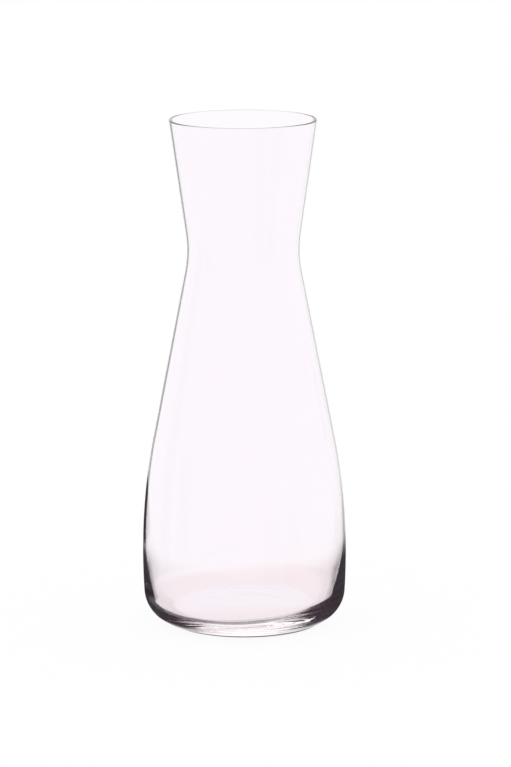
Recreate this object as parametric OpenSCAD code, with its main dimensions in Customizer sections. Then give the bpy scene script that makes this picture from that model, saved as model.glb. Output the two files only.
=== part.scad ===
// Open table carafe blown in one piece of clear glass. A flared mouth runs down to a narrow
// waist for the hand, a straight flank widens to a low belly, and the wall thickens there
// into a heavy base that stands on a ring round a shallow hollow.

/* [Overall] */
// Height from the table to the top of the lip
height = 255; // [235:1:300]

/* [Mouth and waist] */
// Outside diameter across the lip
mouth_d = 73.5; // [66:0.5:90]
// Outside diameter at the waist, the narrowest level
waist_d = 56.2; // [46:0.2:62]
// Height of the waist above the table
waist_z = 189.5; // [170:0.5:205]
// Radius of the waist curve, measured on the outside of the glass
waist_curve_r = 58; // [35:1:90]

/* [Body] */
// Outside diameter at the belly, the widest level
body_d = 102.5; // [92:0.5:125]
// Height of the widest level above the table
body_z = 34.5; // [28:0.5:50]
// Radius of the belly curve, measured on the outside of the glass
belly_curve_r = 320; // [260:5:400]
// Radius of the corner between the belly and the foot
base_corner_r = 16.5; // [10:0.5:22]

/* [Glass] */
// Thickness of the lip, neck and flank
wall_t = 1.2; // [0.8:0.1:2]
// Thickness of the belly, between its widest levels outside and inside
belly_t = 1.5; // [1.3:0.1:2.2]
// Radius of the belly curve on the inside
inner_belly_r = 265; // [240:5:290]
// Radius of the heel below it, tighter than outside so that the wall thickens downwards
inner_heel_r = 142; // [110:2:180]
// Radius of the corner between the inside wall and the inside floor
inner_corner_r = 11; // [7:0.5:16]
// Height of the inside floor above the table
floor_z = 7; // [5:0.5:12]

/* [Foot] */
// Width of the flat ring that the carafe stands on
foot_ring_w = 11; // [4:0.5:16]
// Depth of the hollow inside that ring, at its middle
punt_depth = 0.4; // [0.2:0.1:2]

/* [Hidden] */

// How far the straight steps of a curve may stand off the true arc
arc_tolerance = 0.01;

// Profile points are [distance from the axis, height]. Angles run from +r towards +z, and
// slopes are given from -90 to 270 so that no arc of the profile crosses the jump.
function along(a) = [cos(a), sin(a)];
function slope(v) = (atan2(v[1], v[0]) + 450) % 360 - 90;
function reach(c, l) = sqrt(pow(c, 2) - pow(l, 2));
function arc(c, r, from, to) =
    let (steps = ceil(abs(to - from) / (2 * acos(1 - arc_tolerance / r))))
    [for (i = [0 : steps]) c + r * along(from + (to - from) * i / steps)];

// A corner circle of radius r stands on the level given and touches a belly curve from inside
function corner_centre(belly, belly_r, r, level) =
    [belly[0] + reach(belly_r - r, level + r - belly[1]), level + r];

// The waist circle lies outside the glass, and the belly circle reaches across the axis
waist_c = [waist_d / 2 + waist_curve_r, waist_z];
belly_c = [body_d / 2 - belly_curve_r, body_z];

// The half-round lip has the wall's thickness. The neck leaves it as the tangent of the
// circle that runs along the middle of the wall at the waist.
lip_r = wall_t / 2;
lip_c = [mouth_d / 2 - lip_r, height - lip_r];
neck_v = lip_c - waist_c;
neck_a = slope(neck_v) + acos((waist_curve_r + lip_r) / norm(neck_v));

// The flank is the inner common tangent of the waist and belly circles
flank_v = belly_c - waist_c;
flank_a = slope(flank_v) - acos((waist_curve_r + belly_curve_r) / norm(flank_v));

// The belly curve inside touches the inside of the flank, which fixes the level of its centre.
// The heel takes over from it at that level, where both stand upright.
belly_a = flank_a - 180;
flank_out = along(belly_a);
flank_reach = flank_out * belly_c + belly_curve_r - wall_t;
inner_wide_r = body_d / 2 - belly_t;
inner_belly_x = inner_wide_r - inner_belly_r;
inner_wide_z = (flank_reach - inner_belly_r - inner_belly_x * flank_out[0]) / flank_out[1];
inner_belly_c = [inner_belly_x, inner_wide_z];
heel_c = [inner_wide_r - inner_heel_r, inner_wide_z];

corner_c = corner_centre(belly_c, belly_curve_r, base_corner_r, 0);
corner_a = slope(corner_c - belly_c);
inner_corner_c = corner_centre(heel_c, inner_heel_r, inner_corner_r, floor_z);
inner_corner_a = slope(inner_corner_c - heel_c);

// The hollow under the foot is a cap of one sphere, inside the ring
punt_edge_r = corner_c[0] - foot_ring_w;
punt_r = (pow(punt_edge_r, 2) + pow(punt_depth, 2)) / (2 * punt_depth);
punt_c = [0, punt_depth - punt_r];
punt_edge_a = slope([punt_edge_r, 0] - punt_c);

// From the foot up the outside to the lip. The neck and flank are the gaps between arcs.
outside = concat(
    arc(corner_c, base_corner_r, -90, corner_a),
    arc(belly_c, belly_curve_r, corner_a, belly_a),
    arc(waist_c, waist_curve_r, flank_a, neck_a),
    arc(lip_c, lip_r, neck_a - 180, neck_a)
);

// From the neck down the inside to the edge of the flat floor
inside = concat(
    arc(waist_c, waist_curve_r + wall_t, neck_a, flank_a),
    arc(inner_belly_c, inner_belly_r, belly_a, 0),
    arc(heel_c, inner_heel_r, 0, inner_corner_a),
    arc(inner_corner_c, inner_corner_r, inner_corner_a, -90)
);

floor_middle = [[0, floor_z]];
punt = arc(punt_c, punt_r, 90, punt_edge_a);

module glass_body() {
    color([0.94, 0.92, 0.96, 0.35])
        rotate_extrude($fn = 180)
            polygon(concat(outside, inside, floor_middle, punt));
}

glass_body();
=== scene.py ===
import math

import bpy
import numpy as np
from mathutils import Matrix


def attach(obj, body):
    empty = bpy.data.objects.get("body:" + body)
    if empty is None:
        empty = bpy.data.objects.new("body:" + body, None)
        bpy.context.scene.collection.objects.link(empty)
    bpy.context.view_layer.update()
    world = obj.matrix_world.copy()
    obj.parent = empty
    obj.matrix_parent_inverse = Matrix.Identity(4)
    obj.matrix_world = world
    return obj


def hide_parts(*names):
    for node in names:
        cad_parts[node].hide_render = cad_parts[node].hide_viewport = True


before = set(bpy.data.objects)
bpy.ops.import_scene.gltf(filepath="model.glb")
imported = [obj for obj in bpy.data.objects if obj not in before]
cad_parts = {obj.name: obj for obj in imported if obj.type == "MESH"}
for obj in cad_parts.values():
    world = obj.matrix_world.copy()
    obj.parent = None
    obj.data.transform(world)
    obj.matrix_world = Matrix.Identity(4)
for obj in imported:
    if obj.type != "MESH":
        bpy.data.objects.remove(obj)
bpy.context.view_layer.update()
mm = 0.001
print("frame loaded:", sorted(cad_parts))

lightBounces = 400  # light in the heavy base turns back many times before it leaves

scene = bpy.context.scene
scene.view_settings.view_transform = "Standard"
scene.cycles.max_bounces = lightBounces
scene.cycles.transmission_bounces = lightBounces
scene.cycles.glossy_bounces = lightBounces
scene.cycles.use_denoising = True

# settings that several nodes share
multiply = {"operation": "MULTIPLY"}
smooth = {"interpolation_type": "SMOOTHSTEP"}


def linear(hexColour):
    # sRGB hex to the linear values that shaders take
    srgb = np.array([int(hexColour[i:i + 2], 16) for i in (1, 3, 5)]) / 255
    low = srgb / 12.92
    high = ((srgb + 0.055) / 1.055) ** 2.4
    return (*np.where(srgb <= 0.04045, low, high).tolist(), 1.0)


def addNode(tree, kind, settings=None, **inputs):
    # one node with its settings; an input is a value for its socket or another node's output, and in0, in1
    # and so on stand for sockets by number
    node = tree.nodes.new(kind)
    for name, value in (settings or {}).items():
        setattr(node, name, value)
    for name, value in inputs.items():
        byNumber = name.startswith("in") and name[2:].isdigit()
        key = int(name[2:]) if byNumber else name.replace("_", " ")
        if isinstance(value, bpy.types.NodeSocket):
            tree.links.new(value, node.inputs[key])
        else:
            node.inputs[key].default_value = value
    return node


# Camera: stands in front at about eight heights and looks a little down, as the photo does
cameraPlace = {
    "distance": 2040 * mm,
    "height": 519 * mm,
    "pitchDeg": 11.03,
    "yawDeg": 0.164,
    "rollDeg": -0.171,
    "focalPx": 4143,
    "longSidePx": 767,
    "sensor": 36.0,
    "clipEnd": 100.0,
}


def makeCamera(place):
    pitch, yaw, roll = (math.radians(place[k]) for k in ("pitchDeg", "yawDeg", "rollDeg"))
    data = bpy.data.cameras.new("camera")
    data.sensor_width = place["sensor"]
    data.lens = place["focalPx"] * place["sensor"] / place["longSidePx"]
    data.clip_end = place["clipEnd"]
    camera = bpy.data.objects.new("camera", data)
    scene.collection.objects.link(camera)
    aside = Matrix.Rotation(-yaw, 4, "Z")
    down = Matrix.Rotation(math.pi / 2 - pitch, 4, "X")
    tilt = Matrix.Rotation(roll, 4, "Z")
    stand = Matrix.Translation((0, -place["distance"], place["height"]))
    camera.matrix_world = stand @ (aside @ down @ tilt)
    scene.camera = camera


makeCamera(cameraPlace)
print("camera placed")


# The vessel, in millimetres, with the sizes of its CAD solid
vessel = {
    "height": 255.0,
    "mouthD": 73.5,
    "waistD": 56.2,
    "waistZ": 189.5,
    "waistCurveR": 58.0,
    "bodyD": 102.5,
    "bodyZ": 34.5,
    "bellyCurveR": 320.0,
    "baseCornerR": 16.5,
    "wall": 1.2,
    "bellyWall": 1.5,  # between the widest levels outside and inside
    "innerBellyR": 265.0,
    "innerHeelR": 142.0,
    "innerCornerR": 11.0,
    "floorZ": 7.0,
    "footRingW": 11.0,
    "puntDepth": 0.4,
    "leanRightDeg": 2.0,  # the blown bubble sits a little askew in the base, higher to the right and moved
    "leanShift": -0.1,
    "leanFullZ": 40.0,  # all of the lean below this height, none above the next
    "leanEndZ": 95.0,
    "around": 256,  # steps round the axis
    "steps": {  # steps along each stretch of the half outline
        "punt": 12,
        "footRing": 8,
        "corner": 48,
        "belly": 32,
        "flank": 12,
        "waist": 20,
        "neck": 20,
        "lip": 24,
        "innerBelly": 24,
        "heel": 40,
        "innerCorner": 40,
        "floor": 16,
    },
}


def along(angle):
    # the unit vector at an angle
    return np.stack([np.cos(angle), np.sin(angle)], -1)


def slope(v):
    # angle from -90 to 270 degrees, so that no arc of the profile crosses the jump
    return (np.arctan2(v[1], v[0]) + 2.5 * np.pi) % (2 * np.pi) - 0.5 * np.pi


def arc(centre, radius, start, end, steps):
    # points at even angles on a circle
    return centre + radius * along(np.linspace(start, end, steps + 1))


def line(start, end, steps):
    # points inside a straight stretch, without its ends, closer together towards them
    share = 0.5 - 0.5 * np.cos(np.linspace(0, np.pi, steps + 1))[1:-1, None]
    return start + share * (end - start)


def cornerCentre(belly, bellyR, r, level):
    # a circle that stands on a level and touches the belly curve from inside
    return np.array([belly[0] + np.sqrt((bellyR - r) ** 2 - (level + r - belly[1]) ** 2), level + r])


def vesselProfile(v):
    # half outline [distance from axis, height] walked from the middle of the foot up the outside, over
    # the lip and down the inside: circles for punt, corner, belly, waist and lip, joined by tangents
    wall = v["wall"]
    waistC = np.array([v["waistD"] / 2 + v["waistCurveR"], v["waistZ"]])
    bellyC = np.array([v["bodyD"] / 2 - v["bellyCurveR"], v["bodyZ"]])
    lipC = np.array([v["mouthD"] / 2 - wall / 2, v["height"] - wall / 2])
    neck = lipC - waistC
    neckA = slope(neck) + np.arccos((v["waistCurveR"] + wall / 2) / np.hypot(*neck))
    flank = bellyC - waistC
    flankA = slope(flank) - np.arccos((v["waistCurveR"] + v["bellyCurveR"]) / np.hypot(*flank))
    bellyA = flankA - np.pi
    cornerC = cornerCentre(bellyC, v["bellyCurveR"], v["baseCornerR"], 0)
    cornerA = slope(cornerC - bellyC)
    # inside: a belly circle that touches the flank, which fixes its level, then a heel and a corner
    out = along(bellyA)
    flankReach = out @ bellyC + v["bellyCurveR"] - wall
    innerBellyR = v["innerBellyR"]
    wideR = v["bodyD"] / 2 - v["bellyWall"]
    wideZ = (flankReach - innerBellyR - (wideR - innerBellyR) * out[0]) / out[1]
    innerBellyC = np.array([wideR - innerBellyR, wideZ])
    heelC = np.array([wideR - v["innerHeelR"], wideZ])
    innerC = cornerCentre(heelC, v["innerHeelR"], v["innerCornerR"], v["floorZ"])
    heelA = slope(innerC - heelC)
    # the hollow under the foot is a cap of one sphere
    puntEdge = cornerC[0] - v["footRingW"]
    puntR = (puntEdge ** 2 + v["puntDepth"] ** 2) / (2 * v["puntDepth"])
    puntC = np.array([0, v["puntDepth"] - puntR])
    down = -np.pi / 2
    steps = v["steps"]
    foot = arc(puntC, puntR, np.pi / 2, slope([puntEdge, 0] - puntC), steps["punt"])
    corner = arc(cornerC, v["baseCornerR"], down, cornerA, steps["corner"])
    belly = arc(bellyC, v["bellyCurveR"], cornerA, bellyA, steps["belly"])[1:]
    waist = arc(waistC, v["waistCurveR"], flankA, neckA, steps["waist"])
    lip = arc(lipC, wall / 2, neckA - np.pi, neckA, steps["lip"])
    innerWaist = arc(waistC, v["waistCurveR"] + wall, neckA, flankA, steps["waist"])
    innerBelly = arc(innerBellyC, innerBellyR, bellyA, 0, steps["innerBelly"])
    heel = arc(heelC, v["innerHeelR"], 0, heelA, steps["heel"])[1:]
    innerCorner = arc(innerC, v["innerCornerR"], heelA, down, steps["innerCorner"])[1:]
    middle = np.array([0, v["floorZ"]])
    outer = np.concatenate([
        foot, line(foot[-1], corner[0], steps["footRing"]),
        corner, belly, line(belly[-1], waist[0], steps["flank"]),
        waist, line(waist[-1], lip[0], steps["neck"]), lip,
    ])
    inner = np.concatenate([
        line(lip[-1], innerWaist[0], steps["neck"]),
        innerWaist, line(innerWaist[-1], innerBelly[0], steps["flank"]),
        innerBelly, heel, innerCorner, line(innerCorner[-1], middle, steps["floor"]), [middle],
    ])
    return outer, inner


def revolve(profile, around):
    # x = r cos a, y = r sin a over a grid of profile points and angles
    angle = np.linspace(0, 2 * np.pi, around, endpoint=False)
    x = profile[:, :1] * np.cos(angle)
    y = profile[:, :1] * np.sin(angle)
    z = np.broadcast_to(profile[:, 1:], x.shape)
    return np.stack([x, y, z], -1)


def leanCavity(points, v):
    # z + x tan(lean) and x + shift low down in the inside, fading out upwards by a smooth step
    x, y, z = np.moveaxis(points, -1, 0)
    share = np.clip((v["leanEndZ"] - z) / (v["leanEndZ"] - v["leanFullZ"]), 0, 1)
    share = share * share * (3 - 2 * share)
    lift = x * math.tan(math.radians(v["leanRightDeg"]))
    return np.stack([x + share * v["leanShift"], y, z + share * lift], -1)


def closedMesh(name, first, grid, last):
    # a grid of rings that closes on itself round the axis, with one point at each end
    rows, around = grid.shape[:2]
    points = np.concatenate([[first], grid.reshape(-1, 3), [last]]) * mm
    here = np.arange(around)
    after = (here + 1) % around
    row = 1 + around * np.arange(rows)[:, None]
    low = row[:-1]
    high = row[1:]
    quads = np.stack([low + here, low + after, high + after, high + here], -1).reshape(-1, 4)
    firstFan = np.stack([np.zeros_like(here), 1 + after, 1 + here], -1)
    lastFan = np.stack([row[-1] + here, row[-1] + after, np.full_like(here, len(points) - 1)], -1)
    corners = np.concatenate([firstFan.ravel(), quads.ravel(), lastFan.ravel()])
    sides = np.concatenate([np.full(around, 3), np.full(len(quads), 4), np.full(around, 3)])
    mesh = bpy.data.meshes.new(name)
    mesh.vertices.add(len(points))
    mesh.vertices.foreach_set("co", points.ravel())
    mesh.loops.add(len(corners))
    mesh.loops.foreach_set("vertex_index", corners)
    mesh.polygons.add(len(sides))
    mesh.polygons.foreach_set("loop_start", np.concatenate([[0], np.cumsum(sides)[:-1]]))
    mesh.polygons.foreach_set("loop_total", sides)
    mesh.polygons.foreach_set("use_smooth", np.ones(len(sides), bool))
    mesh.update(calc_edges=True)
    mesh.validate()
    piece = bpy.data.objects.new(name, mesh)
    scene.collection.objects.link(piece)
    return piece


def makeVessel(v):
    outer, inner = vesselProfile(v)
    outerGrid = revolve(outer, v["around"])
    innerGrid = leanCavity(revolve(inner, v["around"]), v)
    rings = np.concatenate([outerGrid[1:], innerGrid[:-1]])
    piece = closedMesh("blown_body", outerGrid[0, 0], rings, innerGrid[-1, 0])
    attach(piece, "root")
    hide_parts("glass_body")
    return piece


# Clear glass, blown and fire-polished: sharp and colourless where thin, faintly rosy where it is deep,
# with slow waves that bend the dark edges a little and fine scuffs where the foot slides on tables
glassLook = {
    "tint": "#FEFBFE",
    "ior": 1.52,
    "depthColour": (0.74, 0.28, 0.20, 1.0),  # linear, what is left of white after a deep stretch
    "depthDensity": 0.9,
    "waveLength": 34 * mm,
    "waveStretch": 0.45,  # waves are drawn out along the axis
    "waveHeight": 0.015 * mm,
    "waveDetail": 1.0,
    "waveRoughness": 0.4,
    "scuffSize": 0.9 * mm,
    "scuffTop": 0.05 * mm,
    "scuffRoughness": 0.05,
    "scuffDetail": 4.0,
}


def blownClearGlass(look):
    material = bpy.data.materials.new("blown_clear_glass")
    material.use_nodes = True
    tree = material.node_tree
    tree.nodes.clear()
    place = addNode(tree, "ShaderNodeTexCoord").outputs["Object"]
    drawn = addNode(tree, "ShaderNodeMapping", Vector=place, Scale=(1, 1, look["waveStretch"]))
    wave = addNode(
        tree, "ShaderNodeTexNoise", Vector=drawn.outputs[0], Scale=1 / look["waveLength"],
        Detail=look["waveDetail"], Roughness=look["waveRoughness"],
    )
    ripple = addNode(
        tree, "ShaderNodeBump", Height=wave.outputs[0], Strength=1.0, Distance=look["waveHeight"]
    )
    height = addNode(tree, "ShaderNodeSeparateXYZ", Vector=place).outputs["Z"]
    sole = addNode(
        tree, "ShaderNodeMapRange", Value=height, From_Min=0.0, From_Max=look["scuffTop"],
        To_Min=look["scuffRoughness"], To_Max=0.0,
    )
    grit = addNode(
        tree, "ShaderNodeTexNoise", Vector=place, Scale=1 / look["scuffSize"], Detail=look["scuffDetail"]
    )
    scuff = addNode(tree, "ShaderNodeMath", multiply, in0=sole.outputs[0], in1=grit.outputs[0])
    shader = addNode(
        tree, "ShaderNodeBsdfPrincipled", Base_Color=linear(look["tint"]), Roughness=scuff.outputs[0],
        IOR=look["ior"], Transmission_Weight=1.0, Normal=ripple.outputs[0],
    )
    depth = addNode(
        tree, "ShaderNodeVolumeAbsorption", Color=look["depthColour"], Density=look["depthDensity"]
    )
    addNode(
        tree, "ShaderNodeOutputMaterial", Surface=shader.outputs["BSDF"], Volume=depth.outputs["Volume"]
    )
    return material


body = makeVessel(vessel)
body.data.materials.append(blownClearGlass(glassLook))
print("vessel made:", len(body.data.polygons), "faces")


# Studio: a white floor and white surroundings, with dark cards that only the glass sees. Light is told
# apart by its turns, how often it has turned back inside the glass, and by how many surfaces it has come
# through, each as the least and the most.
farTurns = 60  # light with more turns than this has run far along the wall
anyTurns = 9999
anyThrough = (0, 99)
studio = {
    "floorSize": 8.0,
    "floorDrop": 0.2 * mm,
    "white": "#FFFFFF",
    "shadowShare": 0.07,  # how much of the shadow the camera sees on the bright floor
    "darkTable": 0.05,  # the table as the outside of the glass mirrors it, white but for painted shade in two dark places that only its reflections show
    "darkPlaces": [
        {"at": (0.0, 0.0, 0.0), "dark": 160 * mm, "white": 240 * mm},
        {"at": (-147 * mm, 268 * mm, 0.0), "dark": 95 * mm, "white": 140 * mm},
    ],
    # the line of shadow where the foot meets the table, and the bright table that its underside mirrors
    "contact": {
        "at": (0.6 * mm, 0.0, 0.0),
        "dark": 37.0 * mm,
        "white": 38.4 * mm,
        "shade": 0.14,
        "brightTo": 40 * mm,
        "brightEnd": 46 * mm,
    },
    "card": "#352E36",
    # a card has azimuth from +Y towards +X and elevation in degrees, the width of each soft edge in that
    # order, and how dark it is
    "cardGroups": [
        # the dark sides of the heavy base
        {"turns": (4, farTurns), "through": anyThrough, "cards": [
            {"azimuth": (-200, -36), "elevation": (-30, 52), "fade": (1, 6, 6, 12), "depth": 1.0},
            {"azimuth": (-45, -12), "elevation": (-30, 29), "fade": (4, 6, 6, 6), "depth": 1.0},
            {"azimuth": (23, 200), "elevation": (-17, 52), "fade": (4, 1, 6, 12), "depth": 1.0},
        ]},
        {"turns": (3, farTurns), "through": anyThrough, "cards": [
            {"azimuth": (-45, -19), "elevation": (5, 26), "fade": (4, 4, 4, 4), "depth": 1.0},
        ]},
        # the outlines of the thin wall, for the photo's side and more weakly for the others
        {"turns": (1, farTurns), "through": (0, 2), "cards": [
            {"azimuth": (-24, -3), "elevation": (-24, -2), "fade": (6, 4, 10, 8), "depth": 1.0},
            {"azimuth": (3, 20), "elevation": (-19, -2), "fade": (4, 6, 8, 8), "depth": 0.7},
            {"azimuth": (-113, -95), "elevation": (-16, 6), "fade": (8, 6, 8, 8), "depth": 0.3},
            {"azimuth": (-85, -67), "elevation": (-16, 6), "fade": (6, 8, 8, 8), "depth": 0.3},
            {"azimuth": (113, 131), "elevation": (-28, -4), "fade": (8, 6, 8, 8), "depth": 0.3},
            {"azimuth": (139, 157), "elevation": (-28, -4), "fade": (6, 8, 8, 8), "depth": 0.3},
        ]},
        # the edges of the belly and the corner inside the base
        {"turns": (1, farTurns), "through": anyThrough, "cards": [
            {"azimuth": (-41, -3), "elevation": (-40, -19), "fade": (8, 4, 6, 4), "depth": 0.9},
            {"azimuth": (-45, 22), "elevation": (-66, -38), "fade": (12, 8, 8, 6), "depth": 0.8},
            {"azimuth": (34, 48), "elevation": (-36, -22), "fade": (6, 4, 4, 4), "depth": 1.0},
        ]},
        # the table close below
        {"turns": (0, farTurns), "through": anyThrough, "cards": [
            {"azimuth": (-200, 200), "elevation": (-100, -46), "fade": (1, 1, 1, 8), "depth": 0.3},
        ]},
        # light that has run far along the wall sees dark except from high up
        {"turns": (farTurns + 1, anyTurns), "through": anyThrough, "cards": [
            {"azimuth": (-200, 200), "elevation": (-100, 45), "fade": (1, 1, 1, 30), "depth": 1.0},
        ]},
    ],
    # the table behind, as it shows straight through the base
    "rosyTable": {
        "turns": (0, 0),
        "through": anyThrough,
        "azimuth": (-34, 34),
        "elevation": (-100, -19.3),
        "fade": (20, 20, 1, 4.5),
        "colour": "#FEF7F6",
    },
    # the light that the thick base gathers, brighter than white by the extra
    "baseGlow": {"turns": (4, anyTurns), "through": (0, 2), "extra": 0.32},
}


def makeFloor(s):
    half = s["floorSize"] / 2
    mesh = bpy.data.meshes.new("floor")
    corners = [(-half, -half), (half, -half), (half, half), (-half, half)]
    mesh.from_pydata([(x, y, -s["floorDrop"]) for x, y in corners], [], [(0, 1, 2, 3)])
    floor = bpy.data.objects.new("floor", mesh)
    scene.collection.objects.link(floor)
    floor.visible_transmission = False
    mesh.materials.append(mattWhiteSweep(s))


def mattWhiteSweep(s):
    # matt white paper, lit so evenly that it shows as white with hardly a shadow; it also carries a
    # painted contact shadow round the foot for the camera, and painted shade and a painted highlight that
    # only the glass's reflections show
    material = bpy.data.materials.new("matt_white_sweep")
    material.use_nodes = True
    tree = material.node_tree
    tree.nodes.clear()
    path = addNode(tree, "ShaderNodeLightPath")
    byEye = path.outputs["Is Camera Ray"]
    place = addNode(tree, "ShaderNodeTexCoord").outputs["Object"]
    # painted shade for the glass's reflections: the table darkens towards each dark place
    shade = 1.0
    for spot in s["darkPlaces"]:
        away = addNode(
            tree, "ShaderNodeVectorMath", {"operation": "DISTANCE"}, in0=place, in1=spot["at"]
        )
        ramp = addNode(
            tree, "ShaderNodeMapRange", smooth, Value=away.outputs["Value"],
            From_Min=spot["dark"], From_Max=spot["white"], To_Min=s["darkTable"], To_Max=1.0,
        )
        shade = addNode(
            tree, "ShaderNodeMath", {"operation": "MINIMUM"}, in0=shade, in1=ramp.outputs[0]
        ).outputs[0]
    # a painted contact shadow: a dark ring round the foot that only the camera sees; and a painted
    # highlight, a bright patch under the foot that only the glass's reflections show
    contact = s["contact"]
    near = addNode(
        tree, "ShaderNodeVectorMath", {"operation": "DISTANCE"}, in0=place, in1=contact["at"]
    )
    touch = addNode(
        tree, "ShaderNodeMapRange", smooth, Value=near.outputs["Value"],
        From_Min=contact["dark"], From_Max=contact["white"], To_Min=contact["shade"], To_Max=1.0,
    )
    under = addNode(
        tree, "ShaderNodeMapRange", smooth, Value=near.outputs["Value"],
        From_Min=contact["brightTo"], From_Max=contact["brightEnd"], To_Min=1.0, To_Max=0.0,
    )
    mirrored = addNode(tree, "ShaderNodeMath", {"operation": "MAXIMUM"}, in0=shade, in1=under.outputs[0])
    glow = addNode(
        tree, "ShaderNodeMix", {"data_type": "FLOAT"}, in0=byEye,
        in2=mirrored.outputs[0], in3=touch.outputs[0],
    )
    matt = addNode(tree, "ShaderNodeBsdfDiffuse", Color=linear(s["white"]))
    lit = addNode(tree, "ShaderNodeEmission", Color=linear(s["white"]), Strength=glow.outputs[0])
    bright = addNode(tree, "ShaderNodeMath", multiply, in0=byEye, in1=1 - s["shadowShare"])
    share = addNode(
        tree, "ShaderNodeMath", {"operation": "MAXIMUM"},
        in0=bright.outputs[0], in1=path.outputs["Is Glossy Ray"],
    )
    mix = addNode(
        tree, "ShaderNodeMixShader", in0=share.outputs[0], in1=matt.outputs[0], in2=lit.outputs[0]
    )
    addNode(tree, "ShaderNodeOutputMaterial", Surface=mix.outputs[0])
    return material


def band(tree, angle, span, fade):
    # 1 between the two ends of a span of angles and 0 beyond them, with soft edges
    rise = addNode(
        tree, "ShaderNodeMapRange", smooth, Value=angle,
        From_Min=span[0] - fade[0] / 2, From_Max=span[0] + fade[0] / 2,
    )
    fall = addNode(
        tree, "ShaderNodeMapRange", smooth, Value=angle,
        From_Min=span[1] - fade[1] / 2, From_Max=span[1] + fade[1] / 2, To_Min=1.0, To_Max=0.0,
    )
    return addNode(tree, "ShaderNodeMath", multiply, in0=rise.outputs[0], in1=fall.outputs[0]).outputs[0]


def window(tree, azimuth, elevation, card):
    # the band of azimuth times the band of elevation
    sides = band(tree, azimuth, card["azimuth"], card["fade"][:2])
    ends = band(tree, elevation, card["elevation"], card["fade"][2:])
    return addNode(tree, "ShaderNodeMath", multiply, in0=sides, in1=ends).outputs[0]


def counted(tree, count, limits):
    # 1 where a whole number lies from the least to the most and 0 elsewhere, cut half way between numbers
    least, most = limits
    enough = addNode(tree, "ShaderNodeMath", {"operation": "GREATER_THAN"}, in0=count, in1=least - 0.5)
    few = addNode(tree, "ShaderNodeMath", {"operation": "LESS_THAN"}, in0=count, in1=most + 0.5)
    return addNode(tree, "ShaderNodeMath", multiply, in0=enough.outputs[0], in1=few.outputs[0]).outputs[0]


def toldApart(tree, path, rule):
    # 1 for light with a rule's turns and surfaces, else 0
    turned = counted(tree, path.outputs["Glossy Depth"], rule["turns"])
    passed = counted(tree, path.outputs["Transmission Depth"], rule["through"])
    return addNode(tree, "ShaderNodeMath", multiply, in0=turned, in1=passed).outputs[0]


def makeSurroundings(s):
    world = bpy.data.worlds.new("white_tent")
    scene.world = world
    world.use_nodes = True
    tree = world.node_tree
    tree.nodes.clear()
    direction = addNode(tree, "ShaderNodeTexCoord").outputs["Generated"]
    parts = addNode(tree, "ShaderNodeSeparateXYZ", Vector=direction)
    turn = addNode(
        tree, "ShaderNodeMath", {"operation": "ARCTAN2"}, in0=parts.outputs["X"], in1=parts.outputs["Y"]
    )
    lift = addNode(tree, "ShaderNodeMath", {"operation": "ARCSINE"}, in0=parts.outputs["Z"])
    azimuth, elevation = (
        addNode(tree, "ShaderNodeMath", {"operation": "DEGREES"}, in0=angle.outputs[0]).outputs[0]
        for angle in (turn, lift)
    )
    path = addNode(tree, "ShaderNodeLightPath")
    dark = 0.0
    for group in s["cardGroups"]:
        meant = toldApart(tree, path, group)
        for card in group["cards"]:
            patch = window(tree, azimuth, elevation, card)
            weak = addNode(tree, "ShaderNodeMath", multiply, in0=patch, in1=card["depth"])
            mask = addNode(tree, "ShaderNodeMath", multiply, in0=weak.outputs[0], in1=meant)
            dark = addNode(
                tree, "ShaderNodeMath", {"operation": "MAXIMUM"}, in0=dark, in1=mask.outputs[0]
            ).outputs[0]
    shade = addNode(
        tree, "ShaderNodeMath", multiply, in0=dark, in1=path.outputs["Is Transmission Ray"]
    )
    rosy = s["rosyTable"]
    tinted = addNode(
        tree, "ShaderNodeMath", multiply,
        in0=window(tree, azimuth, elevation, rosy), in1=toldApart(tree, path, rosy),
    )
    pale = addNode(
        tree, "ShaderNodeMix", {"data_type": "RGBA"}, in0=tinted.outputs[0],
        in6=linear(s["white"]), in7=linear(rosy["colour"]),
    )
    colour = addNode(
        tree, "ShaderNodeMix", {"data_type": "RGBA"}, in0=shade.outputs[0],
        in6=pale.outputs[2], in7=linear(s["card"]),
    )
    glow = s["baseGlow"]
    strength = addNode(
        tree, "ShaderNodeMath", {"operation": "MULTIPLY_ADD"},
        in0=toldApart(tree, path, glow), in1=glow["extra"], in2=1.0,
    )
    light = addNode(tree, "ShaderNodeBackground", Color=colour.outputs[2], Strength=strength.outputs[0])
    addNode(tree, "ShaderNodeOutputWorld", Surface=light.outputs[0])


makeFloor(studio)
makeSurroundings(studio)
print("studio set")
